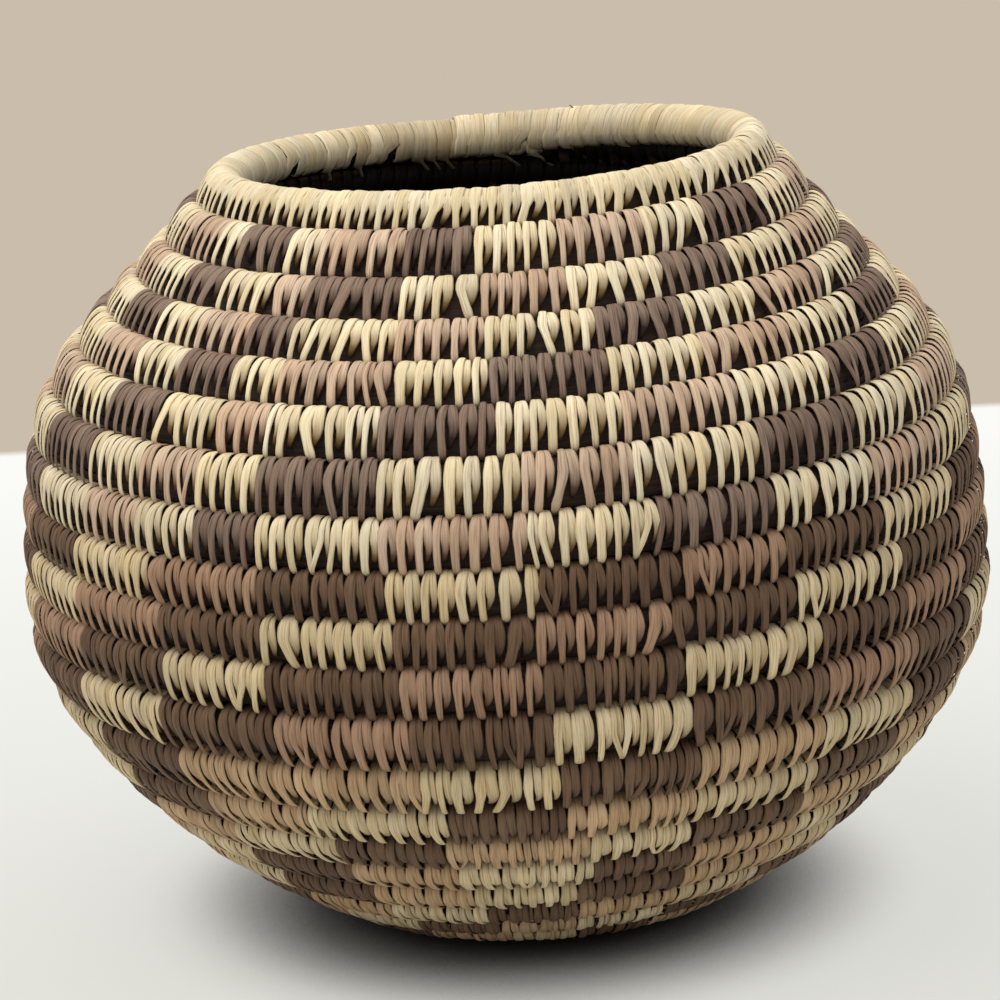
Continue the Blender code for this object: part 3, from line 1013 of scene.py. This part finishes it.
# The floor, the light and the camera
studio = {
    # A white table top, painted a little whiter further back as painted light, and a beige ground beyond its
    # edge
    "floorReach": 6.0,
    "tableHalf": 0.45,
    "tableEdge": 0.004,
    "tableColour": "#E2E2DC",
    "tableFar": "#FAFAF6",
    "farRange": (-0.05, 0.42),
    "beyondColour": "#CABDAB",
    # The shadow under the basket: its reach, and how open a spot is where each part of it starts and ends
    "nearby": 0.05,
    "shadowSamples": 16,
    "shadowEdge": (0.16, 0.60),
    # Painted shadow: by the base the table's colour is darkened towards contactShade
    "contactEdge": (0.08, 0.42),
    "contactShade": "#1C1814",
    "tableEven": 0.85,
    # Soft light from all sides, and one broad soft lamp above
    "skyColour": "#F4F6FA",
    "skyStrength": 0.75,
    "keyColour": "#FFFAF0",
    "keyPower": 11.2,
    "keySize": 1.1,
    "keyPlace": (-0.32, -0.16, 1.28),
    "keyTarget": (0.0, 0.0, 0.08),
}


def largerOf(tree, first, second):
    return addNode(tree, "ShaderNodeMath", {"operation": "MAXIMUM"}, {0: first, 1: second}).outputs[0]


def tableColours(tree):
    # The table's tone from front to back, whiter further back as painted light, and the beige beyond its
    # edge. Also gives what lies beyond it.
    place = addNode(tree, "ShaderNodeTexCoord").outputs["Object"]
    size = addNode(tree, "ShaderNodeVectorMath", {"operation": "ABSOLUTE"}, {0: place})
    reach = addNode(tree, "ShaderNodeSeparateXYZ", {}, {0: size.outputs[0]}).outputs
    half, soft = studio["tableHalf"], studio["tableEdge"]
    beyond = addRange(tree, largerOf(tree, reach[0], reach[1]), half - soft, half + soft)
    away = addNode(tree, "ShaderNodeSeparateXYZ", {}, {0: place})
    far = addRange(tree, away.outputs[1], *studio["farRange"])
    table = addMix(tree, far, studio["tableColour"], studio["tableFar"])
    return addMix(tree, beyond, table, studio["beyondColour"]), beyond


def floorMaterial():
    # A plain white table top, and a plain beige ground beyond it
    material, tree = newMaterial("paleTable")
    colour, beyond = tableColours(tree)
    # The table is lifted to an even tone away from the basket and keeps the rendered shadow near it; by the
    # base its colour is darkened as well, a painted contact shadow
    near = addNode(tree, "ShaderNodeAmbientOcclusion",
                   {"samples": studio["shadowSamples"], "Distance": studio["nearby"]}).outputs["AO"]
    clear = addRange(tree, near, *studio["shadowEdge"],
                     {"interpolation_type": "SMOOTHSTEP", "To Max": studio["tableEven"]})
    shaded = addMix(tree, addRange(tree, near, *studio["contactEdge"]), studio["contactShade"], colour)
    shader = addNode(tree, "ShaderNodeBsdfPrincipled", {"Roughness": 0.9}, {"Base Color": shaded})
    path = addNode(tree, "ShaderNodeLightPath").outputs
    mirrored = largerOf(tree, path["Is Glossy Ray"], path["Is Transmission Ray"])
    seen = largerOf(tree, path["Is Camera Ray"], mirrored)
    lift = largerOf(tree, clear, beyond)
    backdrop = addNode(tree, "ShaderNodeMath", {"operation": "MULTIPLY"}, {0: seen, 1: lift})
    even = addNode(tree, "ShaderNodeEmission", {"Strength": 1.0}, {"Color": colour})
    mixed = addNode(tree, "ShaderNodeMixShader", {},
                    {0: backdrop.outputs[0], 1: shader.outputs[0], 2: even.outputs[0]})
    addNode(tree, "ShaderNodeOutputMaterial", {}, {"Surface": mixed.outputs[0]})
    return material


def makeFloor():
    mesh = bpy.data.meshes.new("floor")
    reach = studio["floorReach"]
    corners = [(-reach, -reach, 0), (reach, -reach, 0), (reach, reach, 0), (-reach, reach, 0)]
    mesh.from_pydata(corners, [], [(0, 1, 2, 3)])
    mesh.materials.append(floorMaterial())
    floor = bpy.data.objects.new("floor", mesh)
    bpy.context.scene.collection.objects.link(floor)


def makeLight():
    world = bpy.data.worlds.new("studio")
    bpy.context.scene.world = world
    world.use_nodes = True
    background = world.node_tree.nodes["Background"]
    background.inputs["Color"].default_value = linear(studio["skyColour"])
    background.inputs["Strength"].default_value = studio["skyStrength"]
    lamp = bpy.data.lights.new("softbox", "AREA")
    lamp.shape = "DISK"
    lamp.size = studio["keySize"]
    lamp.energy = studio["keyPower"]
    lamp.color = linear(studio["keyColour"])[:3]
    key = bpy.data.objects.new("softbox", lamp)
    key.location = studio["keyPlace"]
    aim = Vector(studio["keyTarget"]) - key.location
    key.rotation_euler = aim.to_track_quat("-Z", "Y").to_euler()
    bpy.context.scene.collection.objects.link(key)


# The camera stands where the photo was taken from, in metres and radians
view = {
    "place": (-0.0033, -1.01349, 0.37541),
    "pitch": 0.2673,
    "roll": -0.0497,
    "lens": 157.4,
    "sensor": 36.0,
    "shiftAcross": -0.0058,
}


def makeCamera():
    data = bpy.data.cameras.new("camera")
    data.sensor_width = view["sensor"]
    data.lens = view["lens"]
    data.shift_x = view["shiftAcross"]
    camera = bpy.data.objects.new("camera", data)
    turned = Matrix.Rotation(0.5 * math.pi - view["pitch"], 4, "X") @ Matrix.Rotation(view["roll"], 4, "Z")
    camera.matrix_world = Matrix.Translation(Vector(view["place"])) @ turned
    bpy.context.scene.collection.objects.link(camera)
    bpy.context.scene.camera = camera


makeFloor()
makeLight()
makeCamera()
bpy.context.scene.view_settings.view_transform = "Standard"
print("scene ready")
